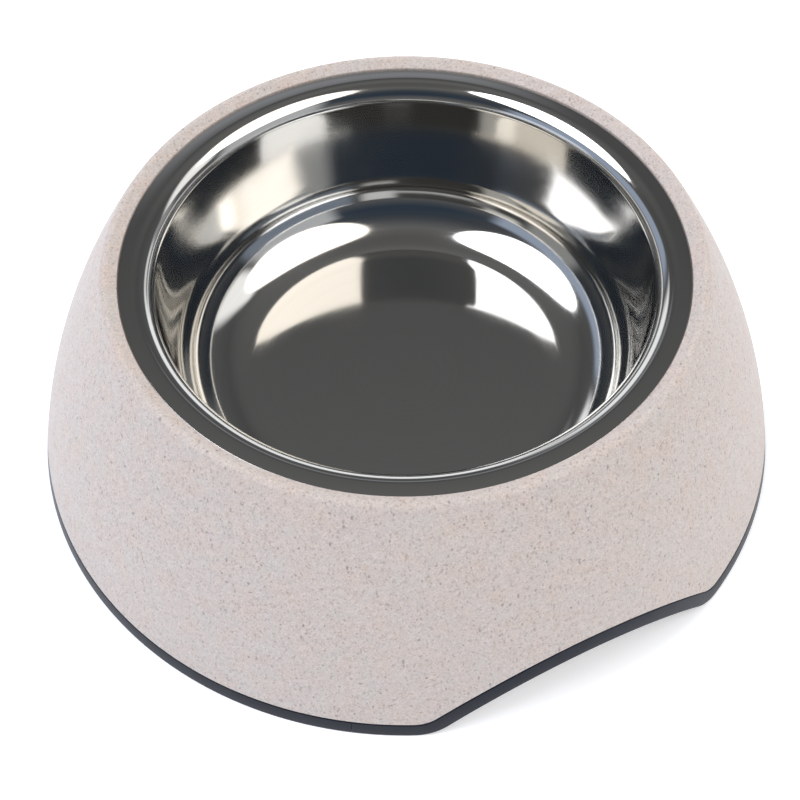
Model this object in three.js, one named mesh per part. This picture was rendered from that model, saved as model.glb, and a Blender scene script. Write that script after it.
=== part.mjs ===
// Dog food bowl: a steel bowl hung by its rim in a moulded shell that stands on a rubber base trim.
// Millimetres, +Z up, the floor at z = 0, the two finger arches on the Y axis.
import * as THREE from 'three';

// Outer shell
const baseRadius = 100;
const shellHeight = 64;
const wallCurveRadius = 185;
const wallThickness = 3.6;
const lipWidth = 3.95;
const shoulderRadius = 1.8;
const lipEdgeRadius = 1.6;
const seatThickness = 3;
const seatEdgeRadius = 0.8;
const seatFilletRadius = 4;
const tongueThickness = 1.3;

// Finger arches in the base edge, measured across the arch at the base radius
const archRise = 16.2;
const archRadius = 56.5;
const archEntryRadius = 12;

// Rubber base trim, a channel that grips the shell's tongue
const trimHeight = 4.1;
const trimFloor = 1.6;
const trimLeg = 1.2;
const trimEdgeRadius = 0.6;

// Steel bowl
const sheet = 0.7;
const rimRadius = 71.75;
const rimWidth = 8.55;
const rimRecess = 1.7;
const rimDrop = 2.6;
const rimCurlRadius = 0.8;
const mouthCurlRadius = 5.3;
const bowlDraft = THREE.MathUtils.degToRad(6);
const bowlCornerRadius = 18;
const bowlGroundClearance = 16.2;

// Clearances
const fitGap = 0.3;
const rimGap = 0.3;
const mouthGap = 0.6;

// Steps of the swept bodies
const archSteps = 24;
const levelSteps = 26;
const bowlSteps = 64;

// Heights and radii that follow from the sizes above
const rimHeight = shellHeight - rimRecess;
const lipInnerRadius = rimRadius + rimGap;
const wallTopRadius = lipInnerRadius + lipWidth;
const seatHeight = rimHeight - rimDrop - fitGap;
const seatUnderside = seatHeight - seatThickness;
const tongueOuterInset = trimLeg + fitGap;
const tongueInnerInset = tongueOuterInset + tongueThickness;
const channelInnerInset = tongueInnerInset + fitGap;
const trimWidth = channelInnerInset + trimLeg;

function arc(centre, radius, from, to, steps) {
  const points = [];
  for (let i = 0; i <= steps; i += 1) {
    const angle = from + ((to - from) * i) / steps;
    points.push([centre[0] + radius * Math.cos(angle), centre[1] + radius * Math.sin(angle)]);
  }
  return points;
}

// Centre of the wall's arc, which passes through the base edge and the lip's outer corner
const wallCentre = (() => {
  const run = wallTopRadius - baseRadius;
  const chord = Math.hypot(run, shellHeight);
  const depth = Math.sqrt(wallCurveRadius ** 2 - (chord / 2) ** 2);
  const middle = [(baseRadius + wallTopRadius) / 2, shellHeight / 2];
  return [middle[0] - (depth * shellHeight) / chord, middle[1] + (depth * run) / chord];
})();

// Radius of the wall at a height, inset square to the outer face
function wallRadius(height, inset) {
  return wallCentre[0] + Math.sqrt((wallCurveRadius - inset) ** 2 - (height - wallCentre[1]) ** 2);
}

function wallPoints(inset, from, to, steps) {
  const points = [];
  for (let i = 0; i <= steps; i += 1) {
    const height = from + ((to - from) * i) / steps;
    points.push([wallRadius(height, inset), height]);
  }
  return points;
}

// The arch and its entry roundings touch on the line between their centres
const archCentreHeight = archRise - archRadius;
const archReach = archRadius + archEntryRadius;
const entryAcross = Math.sqrt(archRise * (2 * archReach - archRise));

// Height of the base edge at an angle, offset upwards and square to itself by lift
function edgeHeight(angle, lift) {
  const across = baseRadius * Math.abs(Math.cos(angle));
  const radius = archRadius + lift;
  if (across < (radius * entryAcross) / archReach) {
    return archCentreHeight + Math.sqrt(radius ** 2 - across ** 2);
  }
  if (across < entryAcross) {
    return archEntryRadius - Math.sqrt((archEntryRadius - lift) ** 2 - (entryAcross - across) ** 2);
  }
  return lift;
}

// Angles round the base, close together over the two arches
function edgeAngles() {
  const halfArch = Math.asin(entryAcross / baseRadius);
  const angles = [];
  for (const middle of [-Math.PI / 2, Math.PI / 2]) {
    for (let i = 0; i < archSteps; i += 1) {
      angles.push(middle - halfArch + (2 * halfArch * i) / archSteps);
    }
    for (let i = 0; i < levelSteps; i += 1) {
      angles.push(middle + halfArch + ((Math.PI - 2 * halfArch) * i) / levelSteps);
    }
  }
  return angles;
}

function bodyFrom(positions, index) {
  const geometry = new THREE.BufferGeometry();
  geometry.setAttribute('position', new THREE.Float32BufferAttribute(positions, 3));
  geometry.setIndex(index);
  geometry.computeVertexNormals();
  return geometry;
}

// Closed ring: a closed section at each angle, joined to the next angle's section
function sweep(angles, sectionAt) {
  const sections = angles.map(sectionAt);
  const count = sections[0].length;
  const positions = [];
  sections.forEach((section, i) => {
    for (const [radius, height] of section) {
      positions.push(radius * Math.cos(angles[i]), radius * Math.sin(angles[i]), height);
    }
  });
  const index = [];
  for (let i = 0; i < angles.length; i += 1) {
    const here = i * count;
    const next = ((i + 1) % angles.length) * count;
    for (let j = 0; j < count; j += 1) {
      const k = (j + 1) % count;
      index.push(here + j, next + j, next + k, here + j, next + k, here + k);
    }
  }
  return bodyFrom(positions, index);
}

// Closed solid of revolution: the profile runs from the axis below to the axis above
function revolve(profile, steps) {
  const rings = profile.slice(1, -1);
  const bottom = rings.length * steps;
  const top = bottom + 1;
  const positions = [];
  for (const [radius, height] of rings) {
    for (let i = 0; i < steps; i += 1) {
      const angle = (2 * Math.PI * i) / steps;
      positions.push(radius * Math.cos(angle), radius * Math.sin(angle), height);
    }
  }
  positions.push(0, 0, profile[0][1], 0, 0, profile[profile.length - 1][1]);
  const index = [];
  const last = (rings.length - 1) * steps;
  for (let i = 0; i < steps; i += 1) {
    const next = (i + 1) % steps;
    index.push(bottom, next, i, last + i, last + next, top);
    for (let j = 0; j < last; j += steps) {
      index.push(j + i, j + next, j + steps + next, j + i, j + steps + next, j + steps + i);
    }
  }
  return bodyFrom(positions, index);
}

// The bowl's sheet from its inside face (offset 0) to its outside face (offset sheet)
const mouthCentre = [rimRadius - rimWidth + mouthCurlRadius, rimHeight - mouthCurlRadius];
const bowlFloor = bowlGroundClearance + sheet;
const cornerHeight = bowlFloor + bowlCornerRadius;
const wallFall = mouthCentre[1] - cornerHeight;
const cornerCentre = [
  mouthCentre[0] - (mouthCurlRadius + bowlCornerRadius) / Math.cos(bowlDraft) - wallFall * Math.tan(bowlDraft),
  cornerHeight,
];

function bowlFace(offset) {
  const corner = arc(cornerCentre, bowlCornerRadius + offset, -Math.PI / 2, -bowlDraft, 7);
  const mouth = arc(mouthCentre, mouthCurlRadius - offset, Math.PI - bowlDraft, Math.PI / 2, 5);
  const curlCentre = [rimRadius - rimCurlRadius, rimHeight - rimCurlRadius];
  const curl = arc(curlCentre, rimCurlRadius - offset, Math.PI / 2, 0, 4);
  const hem = [[rimRadius - offset, rimHeight - rimDrop]];
  return [[0, bowlFloor - offset], ...corner, ...mouth, ...curl, ...hem];
}

function bowlProfile() {
  return [...bowlFace(sheet), ...bowlFace(0).reverse()];
}

// Hole in the seat: clear of the bowl's outside wall, and of its mouth rounding above the ledge
const bowlWallRadius = mouthCentre[0] - (mouthCurlRadius - sheet) * Math.cos(bowlDraft);
const edgeReach = mouthCurlRadius - sheet - mouthGap - seatEdgeRadius;
const edgeAbove = Math.max(0, seatHeight - seatEdgeRadius - mouthCentre[1]);
const edgeRun = Math.sqrt(Math.max(0, edgeReach ** 2 - edgeAbove ** 2));
const seatHoleRadius = Math.max(bowlWallRadius + mouthGap, mouthCentre[0] - edgeRun - seatEdgeRadius);

const shoulderCentre = (() => {
  const height = shellHeight - shoulderRadius;
  return [wallRadius(height, shoulderRadius), height];
})();

function shellSection(angle) {
  const edge = edgeHeight(angle, trimHeight + fitGap);
  const tip = edgeHeight(angle, trimFloor + fitGap);
  const slope = Math.atan2(shoulderCentre[1] - wallCentre[1], shoulderCentre[0] - wallCentre[0]);
  const shoulder = arc(shoulderCentre, shoulderRadius, slope, Math.PI / 2, 4);
  const lipCentre = [lipInnerRadius + lipEdgeRadius, shellHeight - lipEdgeRadius];
  const seatEdge = seatHoleRadius + seatEdgeRadius;
  const filletInset = wallThickness + seatFilletRadius;
  const filletHeight = seatUnderside - seatFilletRadius;
  const filletCentre = [wallRadius(filletHeight, filletInset), filletHeight];
  const filletSlope = Math.atan2(filletCentre[1] - wallCentre[1], filletCentre[0] - wallCentre[0]);
  const fillet = arc(filletCentre, seatFilletRadius, Math.PI / 2, filletSlope, 3);
  const filletEnd = fillet[fillet.length - 1][1];
  return [
    ...wallPoints(0, edge, shoulder[0][1], 6).slice(0, -1),
    ...shoulder,
    ...arc(lipCentre, lipEdgeRadius, Math.PI / 2, Math.PI, 4),
    [lipInnerRadius, seatHeight],
    ...arc([seatEdge, seatHeight - seatEdgeRadius], seatEdgeRadius, Math.PI / 2, Math.PI, 2),
    ...arc([seatEdge, seatUnderside + seatEdgeRadius], seatEdgeRadius, Math.PI, 1.5 * Math.PI, 2),
    ...fillet,
    ...wallPoints(wallThickness, filletEnd, edge, 5).slice(1),
    [wallRadius(edge, tongueInnerInset), edge],
    [wallRadius(tip, tongueInnerInset), tip],
    [wallRadius(tip, tongueOuterInset), tip],
    [wallRadius(edge, tongueOuterInset), edge],
  ];
}

function trimSection(angle) {
  const foot = edgeHeight(angle, 0);
  const floor = edgeHeight(angle, trimFloor);
  const top = edgeHeight(angle, trimHeight);
  const corner = trimEdgeRadius * (1 - Math.SQRT1_2);
  return [
    [wallRadius(foot, trimEdgeRadius), foot],
    [wallRadius(foot + corner, corner), foot + corner],
    [wallRadius(foot + trimEdgeRadius, 0), foot + trimEdgeRadius],
    [wallRadius(top, 0), top],
    [wallRadius(top, trimLeg), top],
    [wallRadius(floor, trimLeg), floor],
    [wallRadius(floor, channelInnerInset), floor],
    [wallRadius(top, channelInnerInset), top],
    [wallRadius(top, trimWidth), top],
    [wallRadius(foot + trimEdgeRadius, trimWidth), foot + trimEdgeRadius],
    [wallRadius(foot + corner, trimWidth - corner), foot + corner],
    [wallRadius(foot, trimWidth - trimEdgeRadius), foot],
  ];
}

function piece(name, geometry, color, roughness, metalness) {
  const mesh = new THREE.Mesh(geometry, new THREE.MeshStandardMaterial({ color, roughness, metalness }));
  mesh.name = name;
  return mesh;
}

const bowl = new THREE.Group();
bowl.name = 'dog_food_bowl';
bowl.add(piece('outer_shell', sweep(edgeAngles(), shellSection), 0xd9cdc4, 0.6, 0));
bowl.add(piece('steel_bowl', revolve(bowlProfile(), bowlSteps), 0xc9c8c5, 0.12, 1));
bowl.add(piece('base_trim', sweep(edgeAngles(), trimSection), 0x3f4450, 0.75, 0));

export default bowl;
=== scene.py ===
import math
import bpy
import bmesh
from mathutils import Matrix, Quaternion, Vector


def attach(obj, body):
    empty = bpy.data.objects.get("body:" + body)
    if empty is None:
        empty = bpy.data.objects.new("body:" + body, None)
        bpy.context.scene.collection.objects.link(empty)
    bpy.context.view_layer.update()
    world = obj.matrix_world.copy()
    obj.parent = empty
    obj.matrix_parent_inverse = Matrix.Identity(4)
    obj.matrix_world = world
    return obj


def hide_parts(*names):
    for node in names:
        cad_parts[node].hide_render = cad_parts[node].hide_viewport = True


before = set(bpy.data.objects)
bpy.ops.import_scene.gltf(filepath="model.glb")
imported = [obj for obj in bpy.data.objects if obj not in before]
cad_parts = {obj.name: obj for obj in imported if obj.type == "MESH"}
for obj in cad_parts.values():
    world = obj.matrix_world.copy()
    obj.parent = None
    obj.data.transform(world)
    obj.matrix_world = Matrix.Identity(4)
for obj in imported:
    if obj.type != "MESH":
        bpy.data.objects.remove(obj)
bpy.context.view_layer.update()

mm = 0.001
print("frame loaded, nodes:", ", ".join(sorted(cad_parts)))


def linear(hexColour):  # sRGB hex to the linear colour that the sockets take
    channels = [int(hexColour[i:i + 2], 16) / 255 for i in (1, 3, 5)]
    return [c / 12.92 if c <= 0.04045 else ((c + 0.055) / 1.055) ** 2.4 for c in channels] + [1.0]


def addNode(tree, kind, sockets=None, **settings):  # a socket takes a node, another socket or a plain value
    node = tree.nodes.new(kind)
    for name, value in settings.items():
        setattr(node, name, value)
    for socket, value in (sockets or {}).items():
        if isinstance(value, bpy.types.Node):
            value = value.outputs[0]
        if isinstance(value, bpy.types.NodeSocket):
            tree.links.new(value, node.inputs[socket])
        else:
            node.inputs[socket].default_value = value
    return node


def newMaterial(name):
    material = bpy.data.materials.new(name)
    material.use_nodes = True
    material.node_tree.nodes.clear()
    return material, material.node_tree


def fillRamp(node, stops):  # stops: position, linear colour
    ramp = node.color_ramp
    while len(ramp.elements) < len(stops):
        ramp.elements.new(0.5)
    for element, (position, colour) in zip(ramp.elements, stops):
        element.position = position
        element.color = colour


def addObject(name, data):
    obj = bpy.data.objects.new(name, data)
    bpy.context.scene.collection.objects.link(obj)
    return obj


# Camera: fitted to the base edge, the rim and the outline, 27 degrees to the left of the front arch.
# Places in mm, roll and side in degrees, nearest and farthest in metres
viewer = {
    "place": (-128.2, -251.6, 368.7), "aim": (-0.32, 2.97, 1.93), "roll": -0.741, "side": -27,
    "lens": 74.34, "sensor": 36, "nearest": 0.01, "farthest": 50,
}
cameraData = bpy.data.cameras.new("camera")
cameraData.sensor_width = viewer["sensor"]
cameraData.lens = viewer["lens"]
cameraData.clip_start = viewer["nearest"]
cameraData.clip_end = viewer["farthest"]
camera = addObject("camera", cameraData)
camera.location = Vector(viewer["place"]) * mm
camera.rotation_mode = "QUATERNION"
camera.rotation_quaternion = (Vector(viewer["aim"]) - Vector(viewer["place"])).to_track_quat("-Z", "Y")
camera.rotation_quaternion @= Quaternion((0, 0, 1), math.radians(viewer["roll"]))
bpy.context.scene.camera = camera
print("camera set at", viewer["place"])


# Speckled plant-fibre composite, injection moulded: a pale warm plastic with ground husk in it, so the eye
# gets fine brown flecks at all angles, a soft grain under them, faint clouds and a matt skin.
# cloud, mottle, grain and skin are pattern sizes in mm, the skin coarser than a real one so that it shows;
# depth is its relief in mm
composite = {
    "pale": "#C2B8B3", "rosy": "#C4B7B0", "cool": "#C0B9B5",
    "husk": "#897870", "dark": "#463A35", "ochre": "#BFA47E",
    "cloud": 6.0, "mottle": 1.6, "grain": 0.42, "skin": 0.45, "depth": 0.03,
    "roughness": 0.5, "uneven": 0.05, "specular": 0.35, "ior": 1.49,
}
shellMaterial, tree = newMaterial("speckled_plant_fibre_composite")
coords = addNode(tree, "ShaderNodeTexCoord")
inMm = addNode(tree, "ShaderNodeMapping", {
    "Vector": coords.outputs["Object"], "Scale": (1000, 1000, 1000)})
clouds = addNode(tree, "ShaderNodeTexNoise", {
    "Vector": inMm, "Scale": 1 / composite["cloud"], "Detail": 3, "Roughness": 0.6})
tint = addNode(tree, "ShaderNodeValToRGB", {"Fac": clouds})
fillRamp(tint, [
    (0.32, linear(composite["cool"])), (0.5, linear(composite["pale"])), (0.68, linear(composite["rosy"]))])
grain = addNode(tree, "ShaderNodeTexNoise", {
    "Vector": inMm, "Scale": 1 / composite["grain"], "Detail": 2, "Roughness": 0.6})
grainShade = addNode(tree, "ShaderNodeMapRange", {
    "Value": grain, "From Min": 0.3, "From Max": 0.7, "To Min": 0.85, "To Max": 1.15})
mottle = addNode(tree, "ShaderNodeTexNoise", {"Vector": inMm, "Scale": 1 / composite["mottle"], "Detail": 1})
mottleShade = addNode(tree, "ShaderNodeMapRange", {
    "Value": mottle, "From Min": 0.3, "From Max": 0.7, "To Min": 0.96, "To Max": 1.04})
shade = addNode(tree, "ShaderNodeMath", {0: grainShade, 1: mottleShade}, operation="MULTIPLY")
# a colour Mix takes its share at 0 and its two colours at 6 and 7
colour = addNode(tree, "ShaderNodeMix", {0: 1.0, 6: tint, 7: shade}, data_type="RGBA", blend_type="MULTIPLY")
colour = colour.outputs[2]

# One layer per kind of husk: cell in mm, share of cells that hold one, half-length in mm, length over width,
# strength. Each cell turns its own husk about an axis of its own
flecks = [
    {"cell": 1.0, "share": 0.75, "half": 0.65, "long": 1.6, "strength": 0.26, "colour": "husk"},
    {"cell": 1.3, "share": 0.6, "half": 0.95, "long": 2.4, "strength": 0.36, "colour": "husk"},
    {"cell": 1.9, "share": 0.5, "half": 1.3, "long": 3.2, "strength": 0.4, "colour": "husk"},
    {"cell": 2.0, "share": 0.3, "half": 0.95, "long": 2.2, "strength": 0.42, "colour": "dark"},
    {"cell": 3.2, "share": 0.35, "half": 1.2, "long": 1.6, "strength": 0.2, "colour": "ochre"},
]
layerShift = (17.3, -9.1, 5.7)  # mm from one layer to the next, so that their cells don't coincide
smallest = 0.5  # the smallest husk as a share of the largest
solidCore = 0.55  # the share of a husk that has its full strength
for number, layer in enumerate(flecks):
    shift = [step * number for step in layerShift]
    shifted = addNode(tree, "ShaderNodeMapping", {"Vector": inMm, "Location": shift})
    cells = addNode(tree, "ShaderNodeTexVoronoi", {
        "Vector": shifted, "Scale": 1 / layer["cell"], "Randomness": 1.0})
    lot = addNode(tree, "ShaderNodeSeparateColor", {"Color": cells.outputs["Color"]})
    local = addNode(tree, "ShaderNodeVectorMath", {
        0: shifted, 1: cells.outputs["Position"]}, operation="SUBTRACT")
    axis = addNode(tree, "ShaderNodeVectorMath", {
        0: cells.outputs["Color"], 1: (0.5, 0.5, 0.5)}, operation="SUBTRACT")
    angle = addNode(tree, "ShaderNodeMath", {0: lot.outputs[2], 1: 2 * math.pi}, operation="MULTIPLY")
    turned = addNode(tree, "ShaderNodeVectorRotate", {
        "Vector": local, "Axis": axis, "Angle": angle}, rotation_type="AXIS_ANGLE")
    slim = addNode(tree, "ShaderNodeVectorMath", {
        0: turned, 1: (layer["long"], layer["long"], 1)}, operation="MULTIPLY")
    reach = addNode(tree, "ShaderNodeVectorMath", {0: slim}, operation="LENGTH")
    used = addNode(tree, "ShaderNodeMath", {0: lot.outputs[0], 1: layer["share"]}, operation="LESS_THAN")
    size = addNode(tree, "ShaderNodeMapRange", {
        "Value": lot.outputs[1], "To Min": layer["half"] * smallest, "To Max": layer["half"]})
    core = addNode(tree, "ShaderNodeMath", {0: size, 1: solidCore}, operation="MULTIPLY")
    body = addNode(tree, "ShaderNodeMapRange", {
        "Value": reach.outputs["Value"], "From Min": size, "From Max": core,
        "To Min": 0.0, "To Max": layer["strength"]}, interpolation_type="SMOOTHSTEP")
    cover = addNode(tree, "ShaderNodeMath", {0: body, 1: used}, operation="MULTIPLY")
    mix = addNode(tree, "ShaderNodeMix", {
        0: cover, 6: colour, 7: linear(composite[layer["colour"]])}, data_type="RGBA")
    colour = mix.outputs[2]

skin = addNode(tree, "ShaderNodeTexNoise", {
    "Vector": inMm, "Scale": 1 / composite["skin"], "Detail": 3, "Roughness": 0.6})
matt = addNode(tree, "ShaderNodeMapRange", {
    "Value": clouds, "From Min": 0.3, "From Max": 0.7,
    "To Min": composite["roughness"] - composite["uneven"],
    "To Max": composite["roughness"] + composite["uneven"]})
bump = addNode(tree, "ShaderNodeBump", {
    "Height": skin, "Strength": 0.35, "Distance": composite["depth"] * mm})
shader = addNode(tree, "ShaderNodeBsdfPrincipled", {
    "Base Color": colour, "Roughness": matt, "Normal": bump,
    "IOR": composite["ior"], "Specular IOR Level": composite["specular"]})
addNode(tree, "ShaderNodeOutputMaterial", {"Surface": shader})


# Polished stainless steel, deep drawn and buffed on a lathe: a near mirror that fine rings blur a little.
# ring and smear are pattern sizes in mm, the rings coarser than real ones so that they show; depth is their
# relief in mm
steel = {"colour": "#C9C8C5", "roughness": 0.075, "ring": 0.35, "smear": 28, "depth": 0.0015}
steelMaterial, tree = newMaterial("polished_stainless_steel")
coords = addNode(tree, "ShaderNodeTexCoord")
place = addNode(tree, "ShaderNodeSeparateXYZ", {"Vector": coords.outputs["Object"]})
across = addNode(tree, "ShaderNodeCombineXYZ", {"X": place.outputs["X"], "Y": place.outputs["Y"]})
radius = addNode(tree, "ShaderNodeVectorMath", {0: across}, operation="LENGTH")
ringPlace = addNode(tree, "ShaderNodeCombineXYZ", {"X": radius.outputs["Value"], "Y": place.outputs["Z"]})
rings = addNode(tree, "ShaderNodeTexNoise", {
    "Vector": ringPlace, "Scale": 1 / (steel["ring"] * mm), "Detail": 4, "Roughness": 0.7})
smears = addNode(tree, "ShaderNodeTexNoise", {
    "Vector": coords.outputs["Object"], "Scale": 1 / (steel["smear"] * mm), "Detail": 3})
smearShade = addNode(tree, "ShaderNodeMapRange", {
    "Value": smears, "From Min": 0.35, "From Max": 0.7,
    "To Min": steel["roughness"] - 0.02, "To Max": steel["roughness"] + 0.03})
ringShade = addNode(tree, "ShaderNodeMapRange", {
    "Value": rings, "From Min": 0.3, "From Max": 0.7, "To Min": -0.015, "To Max": 0.015})
gloss = addNode(tree, "ShaderNodeMath", {0: smearShade, 1: ringShade}, operation="ADD")
tone = addNode(tree, "ShaderNodeMapRange", {
    "Value": rings, "From Min": 0.3, "From Max": 0.7, "To Min": 0.97, "To Max": 1.02})
colour = addNode(tree, "ShaderNodeMix", {
    0: 1.0, 6: linear(steel["colour"]), 7: tone}, data_type="RGBA", blend_type="MULTIPLY")
bump = addNode(tree, "ShaderNodeBump", {"Height": rings, "Strength": 0.25, "Distance": steel["depth"] * mm})
shader = addNode(tree, "ShaderNodeBsdfPrincipled", {
    "Base Color": colour.outputs[2], "Metallic": 1.0, "Roughness": gloss, "Normal": bump})
addNode(tree, "ShaderNodeOutputMaterial", {"Surface": shader})


# Satin thermoplastic rubber, moulded: blue-black with a soft sheen, fine eggshell grain and dust-pale clouds.
# dust and grain are pattern sizes in mm, the grain coarser than a real one so that it shows; depth is its
# relief in mm
rubber = {
    "colour": "#141722", "pale": "#1B1F2B", "dust": 6, "grain": 0.35, "depth": 0.03,
    "roughness": 0.36, "uneven": 0.06, "specular": 0.22, "ior": 1.5,
}
rubberMaterial, tree = newMaterial("satin_moulded_rubber")
coords = addNode(tree, "ShaderNodeTexCoord")
inMm = addNode(tree, "ShaderNodeMapping", {
    "Vector": coords.outputs["Object"], "Scale": (1000, 1000, 1000)})
dust = addNode(tree, "ShaderNodeTexNoise", {
    "Vector": inMm, "Scale": 1 / rubber["dust"], "Detail": 4, "Roughness": 0.65})
tint = addNode(tree, "ShaderNodeValToRGB", {"Fac": dust})
fillRamp(tint, [(0.35, linear(rubber["colour"])), (0.7, linear(rubber["pale"]))])
grain = addNode(tree, "ShaderNodeTexNoise", {"Vector": inMm, "Scale": 1 / rubber["grain"], "Detail": 2})
matt = addNode(tree, "ShaderNodeMapRange", {
    "Value": grain, "From Min": 0.3, "From Max": 0.7,
    "To Min": rubber["roughness"] - rubber["uneven"], "To Max": rubber["roughness"] + rubber["uneven"]})
bump = addNode(tree, "ShaderNodeBump", {"Height": grain, "Strength": 0.4, "Distance": rubber["depth"] * mm})
shader = addNode(tree, "ShaderNodeBsdfPrincipled", {
    "Base Color": tint, "Roughness": matt, "Normal": bump,
    "IOR": rubber["ior"], "Specular IOR Level": rubber["specular"]})
addNode(tree, "ShaderNodeOutputMaterial", {"Surface": shader})
print("materials made:", shellMaterial.name, steelMaterial.name, rubberMaterial.name)


# Shapes in mm, by the same rules as the solids. Points are radius, height; turns are in degrees
def arcPoints(centre, radius, start, end, steps):
    turns = [math.radians(start + (end - start) * i / steps) for i in range(steps + 1)]
    return [(centre[0] + radius * math.cos(t), centre[1] + radius * math.sin(t)) for t in turns]


# Outer wall: a circle's arc from the base to the lip
wall = {"baseRadius": 100, "topRadius": 76, "height": 64, "curve": 185}
chord = math.hypot(wall["topRadius"] - wall["baseRadius"], wall["height"])
centreDepth = math.sqrt(wall["curve"] ** 2 - (chord / 2) ** 2)
wallCentre = (
    (wall["baseRadius"] + wall["topRadius"]) / 2 - centreDepth * wall["height"] / chord,
    wall["height"] / 2 + centreDepth * (wall["topRadius"] - wall["baseRadius"]) / chord,
)


def wallRadius(height, inset):  # inset square to the outer face
    return wallCentre[0] + math.sqrt((wall["curve"] - inset) ** 2 - (height - wallCentre[1]) ** 2)


def wallTurn(point):  # which way the wall faces at a rounding's centre
    return math.degrees(math.atan2(point[1] - wallCentre[1], point[0] - wallCentre[0]))


# Finger arches in the base edge, front and back: a circle with a rounded entry at each end
arch = {"rise": 16.2, "radius": 56.5, "entry": 12}
archReach = arch["radius"] + arch["entry"]
entryAcross = math.sqrt(arch["rise"] * (2 * archReach - arch["rise"]))


def edgeHeight(angle, lift):  # the base edge, or a line at a set distance above it
    across = wall["baseRadius"] * abs(math.cos(angle))
    radius = arch["radius"] + lift
    if across < radius * entryAcross / archReach:
        return arch["rise"] - arch["radius"] + math.sqrt(radius ** 2 - across ** 2)
    if across < entryAcross:
        return arch["entry"] - math.sqrt((arch["entry"] - lift) ** 2 - (entryAcross - across) ** 2)
    return lift


weld = 0.001  # mm, points closer than this become one
sharpAngle = 40  # degrees, edges above it stay hard


def finishMesh(obj):  # doubles merged, faces outwards, hard edges kept hard
    mesh = obj.data
    shape = bmesh.new()
    shape.from_mesh(mesh)
    bmesh.ops.remove_doubles(shape, verts=shape.verts, dist=weld * mm)
    bmesh.ops.recalc_face_normals(shape, faces=shape.faces)
    shape.to_mesh(mesh)
    shape.free()
    mesh.shade_smooth()
    mesh.set_sharp_from_angle(angle=math.radians(sharpAngle))


# Outer shell: one section per angle, lofted round. The lip falls inwards from its crest to a crisp edge
shell = {
    "thickness": 3.6, "shoulder": 1.8, "rounding": 0.3, "seam": 0.14,
    "lipInner": 72.05, "lipCrest": 1.5, "lipSlope": 28, "lipEdge": 0.35,
    "seatHeight": 59.4, "seatThickness": 3, "seatHole": 64.93, "seatEdge": 0.8, "seatRoot": 0.4,
    "fillet": 4, "tongueOuter": 1.45, "tongueInner": 2.85,
    "archSteps": 120, "levelSteps": 100, "wallSteps": 44, "innerSteps": 24, "roundingSteps": 5,
    "shoulderSteps": 12, "crestSteps": 8, "edgeSteps": 6, "rootSteps": 4, "filletSteps": 10,
}
# Base trim: sizes of its channel, which the shell's lower edge and tongue follow
trim = {
    "height": 4.1, "floor": 1.6, "leg": 1.2, "channel": 3.1, "width": 4.3,
    "footRadius": 0.6, "topRadius": 0.3, "jointAngle": -125, "jointGap": 0.12,
    "steps": 840, "footSteps": 6, "topSteps": 4,
}


def shellSection(angle):
    edge = edgeHeight(angle, trim["height"] + shell["seam"])
    tip = edgeHeight(angle, trim["floor"] + shell["seam"])

    # rounded lower edge above the seam, then up the wall and over the shoulder
    rounding = shell["rounding"]
    points = []
    for i in range(shell["roundingSteps"]):
        turn = math.radians(90 - 90 * i / shell["roundingSteps"])
        height = edge + rounding * (1 - math.sin(turn))
        points.append((wallRadius(height, rounding * (1 - math.cos(turn))), height))
    top = wall["height"]
    shoulderHeight = top - shell["shoulder"]
    shoulderCentre = (wallRadius(shoulderHeight, shell["shoulder"]), shoulderHeight)
    shoulderTurn = wallTurn(shoulderCentre)
    shoulder = arcPoints(shoulderCentre, shell["shoulder"], shoulderTurn, 90, shell["shoulderSteps"])
    wallLow = edge + rounding
    for i in range(shell["wallSteps"]):
        height = wallLow + (shoulder[0][1] - wallLow) * i / shell["wallSteps"]
        points.append((wallRadius(height, 0), height))
    points += shoulder

    # lip: crest, slope and edge, then down to the root of the seat
    crest = shell["lipCrest"]
    crestCentre = (shoulderCentre[0], top - crest)
    slopeTurn = 90 + shell["lipSlope"]
    fall = math.radians(shell["lipSlope"])
    lipRun = shell["lipInner"] + shell["lipEdge"] - crestCentre[0]
    lipDrop = (crest - shell["lipEdge"] + lipRun * math.sin(fall)) / math.cos(fall)
    lipCentre = (shell["lipInner"] + shell["lipEdge"], crestCentre[1] + lipDrop)
    points += arcPoints(crestCentre, crest, 90, slopeTurn, shell["crestSteps"])[1:]
    points += arcPoints(lipCentre, shell["lipEdge"], slopeTurn, 180, shell["edgeSteps"])
    root = shell["seatRoot"]
    rootCentre = (shell["lipInner"] - root, shell["seatHeight"] + root)
    points += arcPoints(rootCentre, root, 0, -90, shell["rootSteps"])

    # seat ledge, its fillet into the wall and the inner face
    seatEdge = shell["seatHole"] + shell["seatEdge"]
    under = shell["seatHeight"] - shell["seatThickness"]
    upper = (seatEdge, shell["seatHeight"] - shell["seatEdge"])
    lower = (seatEdge, under + shell["seatEdge"])
    points += arcPoints(upper, shell["seatEdge"], 90, 180, shell["edgeSteps"])
    points += arcPoints(lower, shell["seatEdge"], 180, 270, shell["edgeSteps"])
    filletHeight = under - shell["fillet"]
    filletCentre = (wallRadius(filletHeight, shell["thickness"] + shell["fillet"]), filletHeight)
    fillet = arcPoints(filletCentre, shell["fillet"], 90, wallTurn(filletCentre), shell["filletSteps"])
    points += fillet
    for i in range(1, shell["innerSteps"] + 1):
        height = fillet[-1][1] + (edge - fillet[-1][1]) * i / shell["innerSteps"]
        points.append((wallRadius(height, shell["thickness"]), height))

    # tongue in the trim's channel
    points.append((wallRadius(edge, shell["tongueInner"]), edge))
    points.append((wallRadius(tip, shell["tongueInner"]), tip))
    points.append((wallRadius(tip, shell["tongueOuter"]), tip))
    points.append((wallRadius(edge, shell["tongueOuter"]), edge))
    return points


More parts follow.
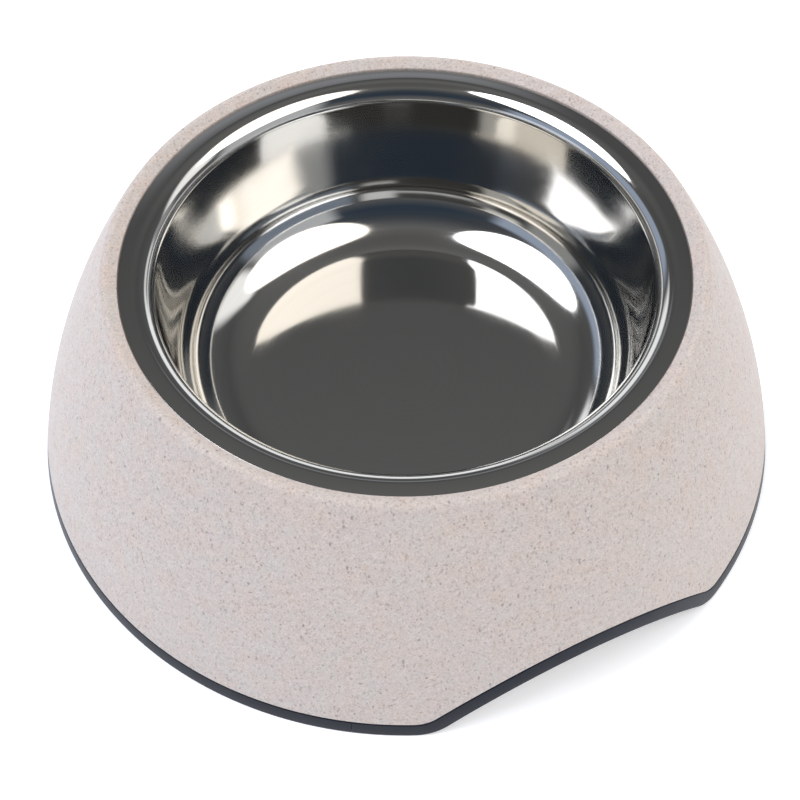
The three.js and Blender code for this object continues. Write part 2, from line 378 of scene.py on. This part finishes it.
def buildShell():
    half = math.asin(entryAcross / wall["baseRadius"])
    level = math.pi - 2 * half
    angles = []
    for middle in (-math.pi / 2, math.pi / 2):  # each arch, then the level edge after it
        angles += [middle - half + 2 * half * i / shell["archSteps"] for i in range(shell["archSteps"])]
        angles += [middle + half + level * i / shell["levelSteps"] for i in range(shell["levelSteps"])]
    vertices = []
    for angle in angles:
        section = shellSection(angle)
        vertices += [(r * math.cos(angle) * mm, r * math.sin(angle) * mm, z * mm) for r, z in section]
    count = len(section)
    faces = []
    for i in range(len(angles)):
        here = i * count
        there = (i + 1) % len(angles) * count
        for j in range(count):
            k = (j + 1) % count
            faces.append((here + j, there + j, there + k, here + k))
    mesh = bpy.data.meshes.new("outer_shell_visual")
    mesh.from_pydata(vertices, [], faces)
    mesh.materials.append(shellMaterial)
    obj = addObject("outer_shell_visual", mesh)
    finishMesh(obj)
    return obj


shellObject = buildShell()
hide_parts("outer_shell")
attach(shellObject, "shell")
print("outer shell:", len(shellObject.data.polygons), "faces")


def newTree(name, inputs):  # a Geometry Nodes tree with named inputs
    tree = bpy.data.node_groups.new(name, "GeometryNodeTree")
    tree.interface.new_socket(name="Geometry", in_out="INPUT", socket_type="NodeSocketGeometry")
    for socketName, kind in inputs:
        tree.interface.new_socket(name=socketName, in_out="INPUT", socket_type=kind)
    tree.interface.new_socket(name="Geometry", in_out="OUTPUT", socket_type="NodeSocketGeometry")
    return tree


def applyTree(obj, tree, values):  # inputs set by identifier, then the result becomes the object's plain mesh
    modifier = obj.modifiers.new(tree.name, "NODES")
    modifier.node_group = tree
    for item in tree.interface.items_tree:
        if item.in_out == "INPUT" and item.name in values:
            modifier[item.identifier] = values[item.name]
    graph = bpy.context.evaluated_depsgraph_get()
    mesh = bpy.data.meshes.new_from_object(obj.evaluated_get(graph))
    obj.modifiers.clear()
    obj.data = mesh


def lineMesh(name, points, closed):  # a section as edges; the sweep takes x outwards and y downwards
    edges = [(i, i + 1) for i in range(len(points) - 1)]
    if closed:
        edges.append((len(points) - 1, 0))
    mesh = bpy.data.meshes.new(name)
    mesh.from_pydata([(x * mm, -y * mm, 0) for x, y in points], edges, [])
    return mesh


# Steel bowl: its section is turned about the axis by a node tree
bowl = {
    "sheet": 0.7, "rimRadius": 71.95, "rimWidth": 8.75, "rimHeight": 62.3, "rimDrop": 2.6, "crown": 70,
    "curl": 0.15, "leastCurl": 0.1, "mouth": 5.3, "draft": 6, "corner": 18, "floor": 16.9, "poleWeld": 0.002,
    "steps": 288, "floorSteps": 14, "cornerSteps": 28, "wallSteps": 12, "mouthSteps": 24, "rimSteps": 12,
    "curlSteps": 6,
}


def bowlFace(offset):  # inside face at 0, outside face at the sheet's thickness
    draft = math.radians(bowl["draft"])
    mouthCentre = (bowl["rimRadius"] - bowl["rimWidth"] + bowl["mouth"], bowl["rimHeight"] - bowl["mouth"])
    cornerHeight = bowl["floor"] + bowl["corner"]
    wallDrop = mouthCentre[1] - cornerHeight
    reach = (bowl["mouth"] + bowl["corner"]) / math.cos(draft) + wallDrop * math.tan(draft)
    cornerCentre = (mouthCentre[0] - reach, cornerHeight)
    corner = arcPoints(cornerCentre, bowl["corner"] + offset, -90, -bowl["draft"], bowl["cornerSteps"])
    mouth = arcPoints(mouthCentre, bowl["mouth"] - offset, 180 - bowl["draft"], 90, bowl["mouthSteps"])
    curlRadius = max(bowl["curl"] - offset, bowl["leastCurl"])
    flatEnd = bowl["rimRadius"] - offset - curlRadius
    flat = []
    for i in range(1, bowl["rimSteps"] + 1):  # the rim falls a little towards its outer edge
        run = (flatEnd - mouthCentre[0]) * i / bowl["rimSteps"]
        flat.append((mouthCentre[0] + run, bowl["rimHeight"] - offset - run ** 2 / (2 * bowl["crown"])))
    curl = arcPoints((flatEnd, flat[-1][1] - curlRadius), curlRadius, 90, 0, bowl["curlSteps"])[1:]
    floorSteps = bowl["floorSteps"]
    level = [(corner[0][0] * i / floorSteps, bowl["floor"] - offset) for i in range(floorSteps)]
    low, high = corner[-1], mouth[0]
    straight = []
    for i in range(1, bowl["wallSteps"]):
        share = i / bowl["wallSteps"]
        straight.append((low[0] + (high[0] - low[0]) * share, low[1] + (high[1] - low[1]) * share))
    end = (bowl["rimRadius"] - offset, bowl["rimHeight"] - bowl["rimDrop"])
    return level + corner + straight + mouth + flat + curl + [end]


def turnTree():
    tree = newTree("turned_section", [
        ("Path Radius", "NodeSocketFloat"), ("Weld", "NodeSocketFloat"),
        ("Steps", "NodeSocketInt"), ("Material", "NodeSocketMaterial")])
    inputs = addNode(tree, "NodeGroupInput").outputs
    section = addNode(tree, "GeometryNodeMeshToCurve", {"Mesh": inputs["Geometry"]})
    circle = addNode(tree, "GeometryNodeCurvePrimitiveCircle", {
        "Resolution": inputs["Steps"], "Radius": inputs["Path Radius"]})
    upright = addNode(tree, "GeometryNodeSetCurveNormal", {"Curve": circle}, mode="Z_UP")
    turned = addNode(tree, "GeometryNodeCurveToMesh", {"Curve": upright, "Profile Curve": section})
    closed = addNode(tree, "GeometryNodeMergeByDistance", {"Geometry": turned, "Distance": inputs["Weld"]})
    smooth = addNode(tree, "GeometryNodeSetShadeSmooth", {"Geometry": closed})
    real = addNode(tree, "GeometryNodeRealizeInstances", {"Geometry": smooth})
    dressed = addNode(tree, "GeometryNodeSetMaterial", {"Geometry": real, "Material": inputs["Material"]})
    addNode(tree, "NodeGroupOutput", {"Geometry": dressed})
    return tree


bowlSection = bowlFace(bowl["sheet"]) + bowlFace(0)[::-1]
bowlLine = lineMesh("bowl_section", [(r - bowl["rimRadius"], z) for r, z in bowlSection], False)
bowlObject = addObject("steel_bowl_visual", bowlLine)
applyTree(bowlObject, turnTree(), {
    "Path Radius": bowl["rimRadius"] * mm, "Weld": bowl["poleWeld"] * mm,
    "Steps": bowl["steps"], "Material": steelMaterial,
})
finishMesh(bowlObject)
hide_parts("steel_bowl")
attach(bowlObject, "bowl")
print("steel bowl:", len(bowlObject.data.polygons), "faces")


# Base trim: a channel section run round the base, lifted over the arches by the same rule as the shell's edge
def trimSection():
    foot, top = trim["footRadius"], trim["topRadius"]
    crown = trim["height"] - top
    points = arcPoints((-foot, foot), foot, -90, 0, trim["footSteps"])
    points += arcPoints((-top, crown), top, 0, 90, trim["topSteps"])
    points += arcPoints((-trim["leg"] + top, crown), top, 90, 180, trim["topSteps"])
    points += [(-trim["leg"], trim["floor"]), (-trim["channel"], trim["floor"])]
    points += arcPoints((-trim["channel"] - top, crown), top, 0, 90, trim["topSteps"])
    points += arcPoints((-trim["width"] + top, crown), top, 90, 180, trim["topSteps"])
    points += arcPoints((-trim["width"] + foot, foot), foot, 180, 270, trim["footSteps"])
    return points


def trimTree():
    sizes = [
        "Base Radius", "Wall Curve", "Wall Centre Radius", "Wall Centre Height",
        "Arch Rise", "Arch Radius", "Entry Radius", "Joint Angle", "Joint Gap",
    ]
    tree = newTree("channel_round_the_base", [(name, "NodeSocketFloat") for name in sizes] + [
        ("Steps", "NodeSocketInt"), ("Material", "NodeSocketMaterial")])
    inputs = addNode(tree, "NodeGroupInput").outputs
    baseRadius, archRise = inputs["Base Radius"], inputs["Arch Rise"]
    archInner, entryInner = inputs["Arch Radius"], inputs["Entry Radius"]
    section = addNode(tree, "GeometryNodeMeshToCurve", {"Mesh": inputs["Geometry"]})
    gapTurn = addNode(tree, "ShaderNodeMath", {0: inputs["Joint Gap"], 1: baseRadius}, operation="DIVIDE")
    sweepTurn = addNode(tree, "ShaderNodeMath", {0: 2 * math.pi, 1: gapTurn}, operation="SUBTRACT")
    path = addNode(tree, "GeometryNodeCurveArc", {
        "Resolution": inputs["Steps"], "Radius": baseRadius,
        "Start Angle": inputs["Joint Angle"], "Sweep Angle": sweepTurn})
    upright = addNode(tree, "GeometryNodeSetCurveNormal", {"Curve": path}, mode="Z_UP")
    strip = addNode(tree, "GeometryNodeCurveToMesh", {
        "Curve": upright, "Profile Curve": section, "Fill Caps": True})

    # each point's inset from the base circle, its lift and its distance from the arch's middle
    position = addNode(tree, "GeometryNodeInputPosition")
    axes = addNode(tree, "ShaderNodeSeparateXYZ", {0: position})
    lift = axes.outputs[2]
    level = addNode(tree, "ShaderNodeCombineXYZ", {0: axes.outputs[0], 1: axes.outputs[1]})
    radius = addNode(tree, "ShaderNodeVectorMath", {0: level}, operation="LENGTH").outputs["Value"]
    outward = addNode(tree, "ShaderNodeVectorMath", {0: level}, operation="NORMALIZE")
    outwardX = addNode(tree, "ShaderNodeSeparateXYZ", {0: outward}).outputs[0]
    side = addNode(tree, "ShaderNodeMath", {0: outwardX}, operation="ABSOLUTE")
    across = addNode(tree, "ShaderNodeMath", {0: side, 1: baseRadius}, operation="MULTIPLY")
    inset = addNode(tree, "ShaderNodeMath", {0: baseRadius, 1: radius}, operation="SUBTRACT")

    # height over the arch
    archRadius = addNode(tree, "ShaderNodeMath", {0: archInner, 1: lift}, operation="ADD")
    archCentre = addNode(tree, "ShaderNodeMath", {0: archRise, 1: archInner}, operation="SUBTRACT")
    archSquare = addNode(tree, "ShaderNodeMath", {0: archRadius, 1: archRadius}, operation="MULTIPLY")
    acrossSquare = addNode(tree, "ShaderNodeMath", {0: across, 1: across}, operation="MULTIPLY")
    archLeft = addNode(tree, "ShaderNodeMath", {0: archSquare, 1: acrossSquare}, operation="SUBTRACT")
    archRoot = addNode(tree, "ShaderNodeMath", {0: archLeft}, operation="SQRT")
    archHeight = addNode(tree, "ShaderNodeMath", {0: archCentre, 1: archRoot}, operation="ADD")

    # height at the rounded entries
    reach = addNode(tree, "ShaderNodeMath", {0: archInner, 1: entryInner}, operation="ADD")
    reachTwice = addNode(tree, "ShaderNodeMath", {0: reach, 1: 2.0}, operation="MULTIPLY")
    reachLeft = addNode(tree, "ShaderNodeMath", {0: reachTwice, 1: archRise}, operation="SUBTRACT")
    entryAtSquare = addNode(tree, "ShaderNodeMath", {0: archRise, 1: reachLeft}, operation="MULTIPLY")
    entryAt = addNode(tree, "ShaderNodeMath", {0: entryAtSquare}, operation="SQRT")
    entryRadius = addNode(tree, "ShaderNodeMath", {0: entryInner, 1: lift}, operation="SUBTRACT")
    entrySquare = addNode(tree, "ShaderNodeMath", {0: entryRadius, 1: entryRadius}, operation="MULTIPLY")
    entrySide = addNode(tree, "ShaderNodeMath", {0: entryAt, 1: across}, operation="SUBTRACT")
    sideSquare = addNode(tree, "ShaderNodeMath", {0: entrySide, 1: entrySide}, operation="MULTIPLY")
    entryLeft = addNode(tree, "ShaderNodeMath", {0: entrySquare, 1: sideSquare}, operation="SUBTRACT")
    entryRoot = addNode(tree, "ShaderNodeMath", {0: entryLeft}, operation="SQRT")
    entryHeight = addNode(tree, "ShaderNodeMath", {0: entryInner, 1: entryRoot}, operation="SUBTRACT")

    # which of the three the point is on: arch, entry or level edge
    archShare = addNode(tree, "ShaderNodeMath", {0: entryAt, 1: reach}, operation="DIVIDE")
    archEnd = addNode(tree, "ShaderNodeMath", {0: archRadius, 1: archShare}, operation="MULTIPLY")
    onArch = addNode(tree, "ShaderNodeMath", {0: across, 1: archEnd}, operation="LESS_THAN")
    onEntry = addNode(tree, "ShaderNodeMath", {0: across, 1: entryAt}, operation="LESS_THAN")
    lowHeight = addNode(tree, "GeometryNodeSwitch", {
        "Switch": onEntry, "False": lift, "True": entryHeight}, input_type="FLOAT")
    height = addNode(tree, "GeometryNodeSwitch", {
        "Switch": onArch, "False": lowHeight, "True": archHeight}, input_type="FLOAT")

    # back onto the shell's curved wall
    wallLeft = addNode(tree, "ShaderNodeMath", {0: inputs["Wall Curve"], 1: inset}, operation="SUBTRACT")
    wallSquare = addNode(tree, "ShaderNodeMath", {0: wallLeft, 1: wallLeft}, operation="MULTIPLY")
    rise = addNode(tree, "ShaderNodeMath", {0: height, 1: inputs["Wall Centre Height"]}, operation="SUBTRACT")
    riseSquare = addNode(tree, "ShaderNodeMath", {0: rise, 1: rise}, operation="MULTIPLY")
    runSquare = addNode(tree, "ShaderNodeMath", {0: wallSquare, 1: riseSquare}, operation="SUBTRACT")
    run = addNode(tree, "ShaderNodeMath", {0: runSquare}, operation="SQRT")
    newRadius = addNode(tree, "ShaderNodeMath", {0: inputs["Wall Centre Radius"], 1: run}, operation="ADD")
    flatPlace = addNode(tree, "ShaderNodeVectorMath", {0: outward, "Scale": newRadius}, operation="SCALE")
    upPlace = addNode(tree, "ShaderNodeCombineXYZ", {2: height})
    newPlace = addNode(tree, "ShaderNodeVectorMath", {0: flatPlace, 1: upPlace}, operation="ADD")
    bent = addNode(tree, "GeometryNodeSetPosition", {"Geometry": strip, "Position": newPlace})
    smooth = addNode(tree, "GeometryNodeSetShadeSmooth", {"Geometry": bent})
    real = addNode(tree, "GeometryNodeRealizeInstances", {"Geometry": smooth})
    dressed = addNode(tree, "GeometryNodeSetMaterial", {"Geometry": real, "Material": inputs["Material"]})
    addNode(tree, "NodeGroupOutput", {"Geometry": dressed})
    return tree


trimObject = addObject("base_trim_visual", lineMesh("trim_section", trimSection(), True))
applyTree(trimObject, trimTree(), {
    "Base Radius": wall["baseRadius"] * mm, "Wall Curve": wall["curve"] * mm,
    "Wall Centre Radius": wallCentre[0] * mm, "Wall Centre Height": wallCentre[1] * mm,
    "Arch Rise": arch["rise"] * mm, "Arch Radius": arch["radius"] * mm, "Entry Radius": arch["entry"] * mm,
    "Joint Angle": math.radians(trim["jointAngle"]), "Joint Gap": trim["jointGap"] * mm,
    "Steps": trim["steps"], "Material": rubberMaterial,
})
finishMesh(trimObject)
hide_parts("base_trim")
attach(trimObject, "shell")
print("base trim:", len(trimObject.data.polygons), "faces")


# Floor: a wide pale disc, lit a little from below like a light table. Radius in metres, patches per metre
stage = {
    "radius": 12.0, "sides": 96, "colour": "#F5F9FF", "shade": "#F2F6FD", "patches": 3.0,
    "roughness": 0.8, "specular": 0.2, "glow": 0.33,
}
floorMaterial, tree = newMaterial("pale_studio_floor")
coords = addNode(tree, "ShaderNodeTexCoord")
patches = addNode(tree, "ShaderNodeTexNoise", {
    "Vector": coords.outputs["Object"], "Scale": stage["patches"], "Detail": 2})
tint = addNode(tree, "ShaderNodeValToRGB", {"Fac": patches})
fillRamp(tint, [(0.3, linear(stage["shade"])), (0.7, linear(stage["colour"]))])
shader = addNode(tree, "ShaderNodeBsdfPrincipled", {
    "Base Color": tint, "Roughness": stage["roughness"], "Specular IOR Level": stage["specular"],
    "Emission Strength": stage["glow"]})
addNode(tree, "ShaderNodeOutputMaterial", {"Surface": shader})
floorMesh = bpy.data.meshes.new("studio_floor")
floorShape = bmesh.new()
bmesh.ops.create_circle(floorShape, cap_ends=True, segments=stage["sides"], radius=stage["radius"])
floorShape.to_mesh(floorMesh)
floorShape.free()
floorMesh.materials.append(floorMaterial)
floorObject = addObject("studio_floor", floorMesh)


def bearingOf(turn):  # turns are in degrees from the camera, positive to its right
    turn = math.radians(viewer["side"] + turn)
    return Vector((math.sin(turn), -math.cos(turn), 0))


# Light: a soft box high on each side of the camera, and weaker ones behind and in front that the steel
# doesn't mirror. Height and spread in degrees
studio = {
    "left": {"turn": -86, "height": 55, "spread": 46, "power": 2.12, "colour": "#F4F5FA", "mirrored": True},
    "right": {"turn": 69, "height": 53, "spread": 48, "power": 1.4, "colour": "#FFF8F0", "mirrored": True},
    "back": {"turn": 180, "height": 56, "spread": 60, "power": 0.6, "colour": "#FFFFFF", "mirrored": False},
    "front": {"turn": 10, "height": 60, "spread": 70, "power": 0.12, "colour": "#FFFFFF", "mirrored": False},
}
lampDistance = 1.5  # metres; a sun lamp lights the same from anywhere
for name, box in studio.items():
    lampData = bpy.data.lights.new("soft_box_" + name, "SUN")
    lampData.energy = box["power"]
    lampData.color = linear(box["colour"])[:3]
    lampData.angle = math.radians(box["spread"])
    lamp = addObject("soft_box_" + name, lampData)
    rise = math.radians(box["height"])
    towards = bearingOf(box["turn"]) * math.cos(rise) + Vector((0, 0, math.sin(rise)))
    lamp.rotation_mode = "QUATERNION"
    lamp.rotation_quaternion = towards.to_track_quat("Z", "Y")
    lamp.location = towards * lampDistance
    lamp.visible_glossy = box["mirrored"]

# Pale cards standing round a dim room, which the steel mirrors; the last one is a pale ring at floor level.
# half: half of the card's width, low and top: its lower and upper edge, in degrees seen from the object
cards = [
    {"turn": 166, "half": 22, "low": -90, "top": 17, "glow": (1.32, 1.35, 1.4, 1)},
    {"turn": 136, "half": 10, "low": 9, "top": 18, "glow": (1.0, 1.02, 1.05, 1)},
    {"turn": -160, "half": 12, "low": 13, "top": 31, "glow": (1.32, 1.35, 1.4, 1)},
    {"turn": 185, "half": 10, "low": 36, "top": 41.5, "glow": (0.34, 0.35, 0.38, 1)},
    {"turn": 101, "half": 14, "low": 22, "top": 52, "glow": (1.4, 1.4, 1.4, 1)},
    {"turn": 117, "half": 8, "low": 8, "top": 22, "glow": (0.4, 0.4, 0.42, 1)},
    {"turn": -60, "half": 20, "low": 3, "top": 12, "glow": (0.92, 1.02, 1.2, 1)},
    {"turn": -92, "half": 47, "low": 8, "top": 31, "glow": (0.43, 0.51, 0.66, 1)},
    {"turn": 57, "half": 22, "low": 3, "top": 36, "glow": (0.64, 0.66, 0.69, 1)},
    {"turn": 180, "half": 150, "low": -90, "top": 4, "glow": (1.0, 1.0, 1.0, 1)},
]
softSide = 5  # degrees over which a card fades at its sides
softLevel = 3  # and at its lower and upper edge
world = bpy.data.worlds.new("studio_room")
bpy.context.scene.world = world
world.use_nodes = True
tree = world.node_tree
tree.nodes.clear()
coords = addNode(tree, "ShaderNodeTexCoord")
around = coords.outputs["Generated"]
height = addNode(tree, "ShaderNodeSeparateXYZ", {"Vector": around}).outputs["Z"]
level = addNode(tree, "ShaderNodeVectorMath", {0: around, 1: (1, 1, 0)}, operation="MULTIPLY")
bearing = addNode(tree, "ShaderNodeVectorMath", {0: level}, operation="NORMALIZE")
farRoom = addNode(tree, "ShaderNodeValToRGB", {"Fac": height})  # linear light by height, away from the camera
fillRamp(farRoom, [
    (0.0, (0.14, 0.145, 0.155, 1)), (0.48, (0.12, 0.122, 0.126, 1)), (0.7, (0.1, 0.101, 0.103, 1)),
    (0.83, (0.15, 0.151, 0.153, 1)), (0.93, (0.185, 0.186, 0.188, 1)), (1.0, (0.13, 0.13, 0.13, 1)),
])
nearRoom = addNode(tree, "ShaderNodeValToRGB", {"Fac": height})  # the darker side that the camera stands on
fillRamp(nearRoom, [
    (0.0, (0.2, 0.2, 0.202, 1)), (0.3, (0.12, 0.125, 0.135, 1)), (0.5, (0.04, 0.06, 0.09, 1)),
    (1.0, (0.05, 0.065, 0.085, 1)),
])
nearSide = addNode(tree, "ShaderNodeVectorMath", {0: around, 1: bearingOf(0)}, operation="DOT_PRODUCT")
nearShare = addNode(tree, "ShaderNodeMapRange", {
    "Value": nearSide.outputs["Value"], "From Min": 0.25, "From Max": 0.85}, interpolation_type="SMOOTHSTEP")
room = addNode(tree, "ShaderNodeMix", {0: nearShare, 6: farRoom, 7: nearRoom}, data_type="RGBA").outputs[2]
for card in reversed(cards):  # the first card stands in front of the others
    facing = addNode(tree, "ShaderNodeVectorMath", {
        0: bearing, 1: bearingOf(card["turn"])}, operation="DOT_PRODUCT")
    wide = addNode(tree, "ShaderNodeMapRange", {
        "Value": facing.outputs["Value"],
        "From Min": math.cos(math.radians(card["half"] + softSide)),
        "From Max": math.cos(math.radians(card["half"] - softSide))}, interpolation_type="SMOOTHSTEP")
    belowTop = addNode(tree, "ShaderNodeMapRange", {
        "Value": height,
        "From Min": math.sin(math.radians(card["top"] + softLevel)),
        "From Max": math.sin(math.radians(card["top"] - softLevel))}, interpolation_type="SMOOTHSTEP")
    aboveLow = addNode(tree, "ShaderNodeMapRange", {
        "Value": height,
        "From Min": math.sin(math.radians(max(card["low"] - softLevel, -90))),
        "From Max": math.sin(math.radians(card["low"] + softLevel))}, interpolation_type="SMOOTHSTEP")
    upright = addNode(tree, "ShaderNodeMath", {0: belowTop, 1: aboveLow}, operation="MULTIPLY")
    share = addNode(tree, "ShaderNodeMath", {0: wide, 1: upright}, operation="MULTIPLY")
    room = addNode(tree, "ShaderNodeMix", {0: share, 6: room, 7: card["glow"]}, data_type="RGBA").outputs[2]
light = addNode(tree, "ShaderNodeBackground", {"Color": room, "Strength": 1.0})
addNode(tree, "ShaderNodeOutputWorld", {"Surface": light})
bpy.context.scene.view_settings.view_transform = "Standard"
print("studio set")
